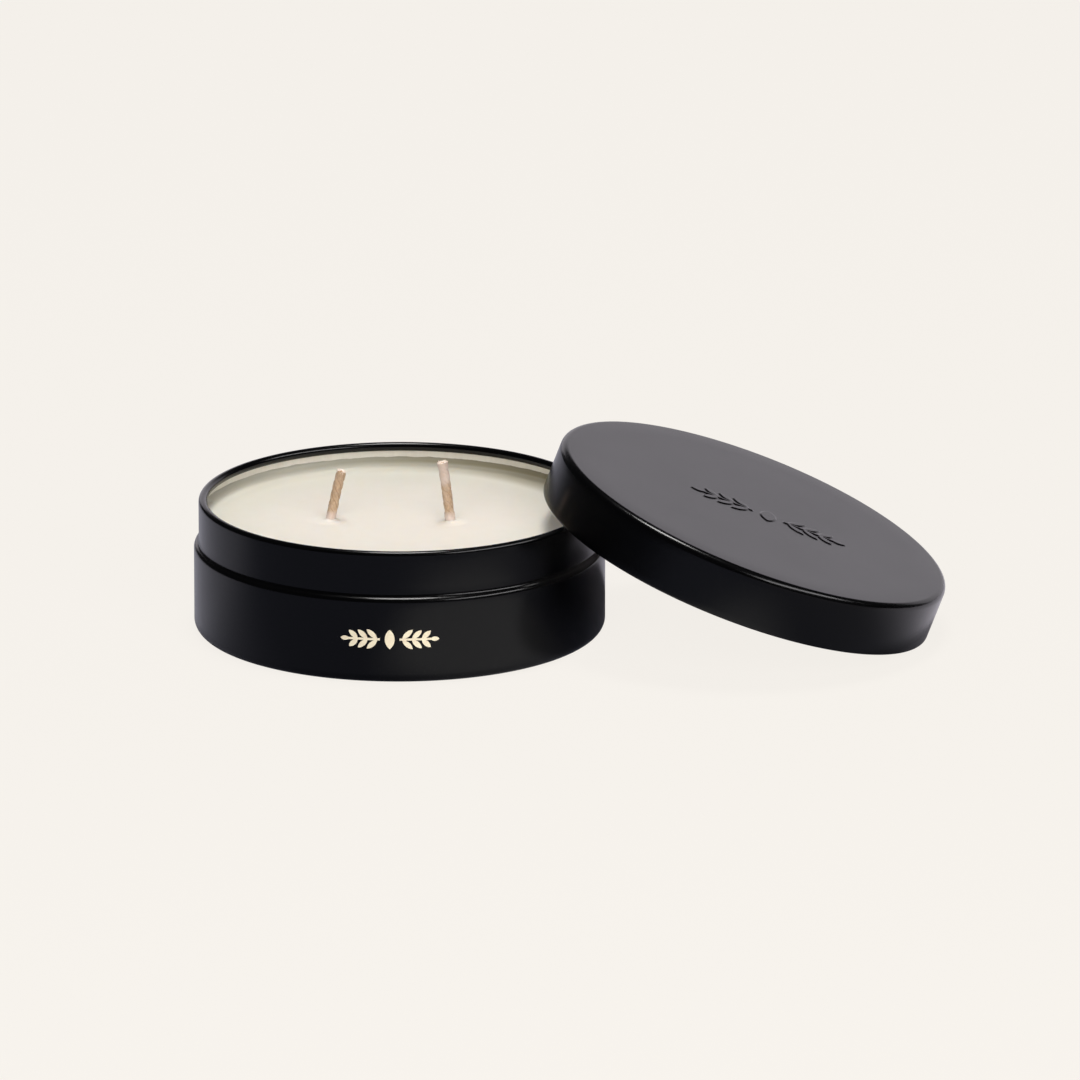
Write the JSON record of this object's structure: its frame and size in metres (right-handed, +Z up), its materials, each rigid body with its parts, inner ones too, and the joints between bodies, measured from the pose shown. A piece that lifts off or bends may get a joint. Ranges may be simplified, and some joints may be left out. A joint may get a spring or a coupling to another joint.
{
  "type": "candle tin",
  "caption": "Two-wick wax candle in a low round black slip-lid tin, with its lid leaning against the open rim and a foil ornament on the front.",
  "frame": {"origin": "centre of the tin's base, on the plane it rests on", "axes": "+Z up; -Y the front with the foil emblem; +X along the row of wicks, towards the leaning lid"},
  "size_m": [0.1645, 0.0918, 0.0428],
  "materials": {
    "black_lacquer": "satin black lacquer on drawn tinplate",
    "lid_lacquer": "satin black lacquer on drawn tinplate",
    "candle_wax": "smooth cream wax",
    "wick_braid": "waxed braided cotton",
    "wick_core": "twisted cotton thread",
    "sustainer_sheet": "plain tinplate",
    "pad_foam": "white adhesive foam",
    "gold_foil": "hot-stamped pale gold foil",
    "label_paper": "blank matt label stock"
  },
  "bodies": {
    "tin": {"tin_body": "black_lacquer", "wax_fill": "candle_wax", "wick_sleeve_left": "wick_braid", "wick_sleeve_right": "wick_braid", "wick_core_left": "wick_core", "wick_core_right": "wick_core", "sustainer_left": "sustainer_sheet", "sustainer_right": "sustainer_sheet", "pad_left": "pad_foam", "pad_right": "pad_foam", "front_emblem": "gold_foil", "base_label": "label_paper"},
    "lid": {"lid_shell": "lid_lacquer"}
  },
  "joints": [
    {"name": "lid_lift", "type": "slide", "parent": "tin", "child": "lid", "axis": [0, 0, 1], "range_m": [0, 0.06]}
  ]
}
